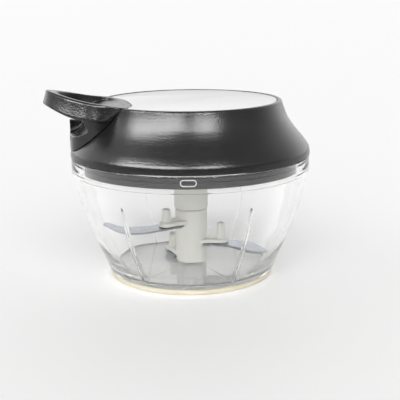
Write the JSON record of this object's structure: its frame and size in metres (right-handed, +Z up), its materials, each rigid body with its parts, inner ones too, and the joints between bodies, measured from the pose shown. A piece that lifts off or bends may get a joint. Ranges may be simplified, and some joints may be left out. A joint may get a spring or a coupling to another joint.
{
  "type": "pull cord vegetable chopper",
  "caption": "Hand chopper: clear bowl with a rotor of swept blades under a black lid; pulling the side grip unwinds a sprung cord reel that spins the rotor.",
  "frame": {"origin": "on the table, under the middle of the object's length and width; the common axis of bowl, rotor and reel stands at x = +5.385 mm, y = 0", "axes": "+Z up, parallel to the axis of bowl, rotor and reel; -Y is the side towards the camera; the grip leaves at 166 degrees clockwise from +X, almost along -X"},
  "size_m": [0.1354, 0.1246, 0.0993],
  "materials": {
    "clear_plastic": "clear, polished",
    "black_plastic": "fine spark-eroded texture, satin",
    "plate_plastic": "smooth satin",
    "white_plastic": "smooth",
    "natural_plastic": "smooth",
    "grey_plastic": "smooth",
    "cream_rubber": "matt",
    "black_rubber": "matt",
    "blade_steel": "ground sheet",
    "steel": "bright",
    "cord": "braided"
  },
  "bodies": {
    "base": {"bowl": "clear_plastic", "non_slip_ring": "cream_rubber", "pivot_pin": "steel"},
    "rotor": {"blade_column": "white_plastic", "blade_upper": "blade_steel", "blade_middle": "blade_steel", "blade_lower": "blade_steel"},
    "lid": {"housing": "black_plastic", "top_plate": "plate_plastic", "lid_base": "black_plastic", "seal_ring": "black_rubber", "reel_axle": "steel", "reel_bushing": "natural_plastic", "cord_eyelet": "steel", "spiral_spring": "steel", "pull_cord": "cord", "cover_screw_1": "steel", "cover_screw_2": "steel", "cover_screw_3": "steel", "cover_screw_4": "steel"},
    "reel": {"cord_reel": "white_plastic", "wound_cord": "cord", "spring_cover": "grey_plastic", "drive_coupling": "white_plastic", "coupling_screw": "steel"},
    "grip": {"grip": "black_plastic", "cord_knot": "cord"}
  },
  "joints": [
    {"name": "lid_lift", "type": "slide", "parent": "base", "child": "lid", "axis": [0, 0, 1], "range_m": [0, 0.08]},
    {"name": "grip_pull", "type": "slide", "parent": "lid", "child": "grip", "axis": [-0.9703, -0.2419, 0], "range_m": [0, 0.3], "stiffness_N_per_m": 15},
    {"name": "reel_spin", "type": "hinge", "parent": "lid", "child": "reel", "pos_m": [0.00539, 0, 0.07], "axis": [0, 0, 1], "range_deg": [0, 1042]},
    {"name": "rotor_spin", "type": "hinge", "parent": "base", "child": "rotor", "pos_m": [0.00539, 0, 0.02], "axis": [0, 0, 1], "range_deg": [0, 1042]}
  ],
  "couplings": [
    {"joint": "reel_spin", "follows": "grip_pull", "rad_per_m": 60.6},
    {"joint": "rotor_spin", "follows": "grip_pull", "rad_per_m": 60.6}
  ]
}
